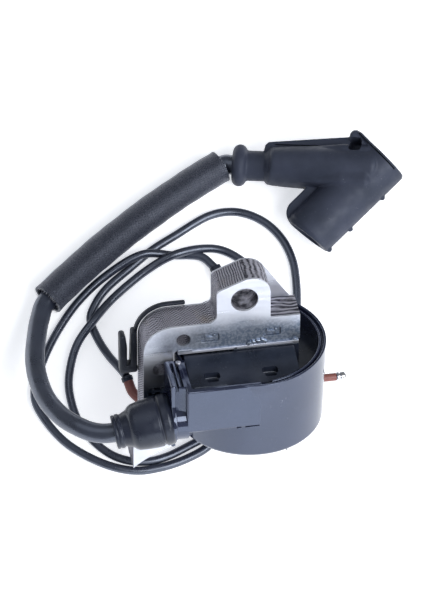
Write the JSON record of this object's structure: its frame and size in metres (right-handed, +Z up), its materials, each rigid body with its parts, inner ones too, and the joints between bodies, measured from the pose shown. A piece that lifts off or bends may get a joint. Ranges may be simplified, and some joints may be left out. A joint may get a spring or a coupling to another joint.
{
  "type": "ignition coil",
  "caption": "Small-engine flywheel ignition coil: laminated pole core with mount ear, round potted coil, booted high-tension lead with sleeve and elbow plug cap, and a stop wire.",
  "frame": {"origin": "centre of the coil's footprint box on the floor, without its leads", "axes": "+X along the core's cross bar, towards the pot; +Z up from the floor, with the coil leaning back on its pole shoes and the pot's rear rim; +Y towards the plug cap"},
  "size_m": [0.1434, 0.1222, 0.0707],
  "materials": {
    "lamination_steel": "fine sheet edges, oiled, faintly brown",
    "plated_steel": "bright zinc-plated sheet",
    "black_gloss": "glossy black moulding",
    "black_matte": "satin black moulding",
    "boot_rubber": "smooth black rubber",
    "cap_rubber": "satin slate-black rubber",
    "lead_sheath": "smooth black cable sheath",
    "woven_sleeve": "woven black glass-fibre sleeve",
    "brown_sheath": "red-brown insulation",
    "bright_metal": "bright tinned metal",
    "brass": "plain brass",
    "copper": "enamelled copper wire",
    "bobbin": "natural nylon",
    "resin": "black potting resin",
    "board": "green glass-epoxy board",
    "capacitor": "dipped film capacitor",
    "component": "moulded component body"
  },
  "bodies": {
    "coil": {"core_laminations": "lamination_steel", "front_plate": "plated_steel", "rear_gusset_plate": "plated_steel", "pole_leg": "lamination_steel", "interlock_stakes": "plated_steel", "bar_shim": "plated_steel", "coil_pot": "black_gloss", "coil_deck": "black_matte", "earth_rivet": "bright_metal", "potting_fill": "resin", "primary_bobbin": "bobbin", "primary_winding": "copper", "secondary_bobbin": "bobbin", "secondary_winding": "copper", "circuit_board": "board", "charge_capacitor": "capacitor", "thyristor": "component", "trigger_choke": "copper", "rectifier_diode": "component", "ht_spike": "brass", "lead_boot": "boot_rubber", "ht_lead": "lead_sheath", "kill_lead": "brown_sheath", "kill_lead_collar": "boot_rubber", "stop_wire": "lead_sheath", "stop_wire_terminal": "boot_rubber", "wire_clip": "black_matte", "test_lead_stub": "brown_sheath", "stub_ferrule": "bright_metal"},
    "cap": {"plug_cap": "cap_rubber", "plug_spring": "bright_metal", "spring_spike": "bright_metal"},
    "sleeve": {"lead_sleeve": "woven_sleeve"}
  },
  "joints": [
    {"name": "cap_twist", "type": "hinge", "parent": "coil", "child": "cap", "pos_m": [0.0186, 0.0834, 0.0071], "axis": [0.9545, -0.2139, 0.2079], "range_deg": [-90, 0]},
    {"name": "sleeve_slide", "type": "slide", "parent": "coil", "child": "sleeve", "axis": [0.849, 0.5284, 0], "range_m": [-0.002, 0]}
  ]
}
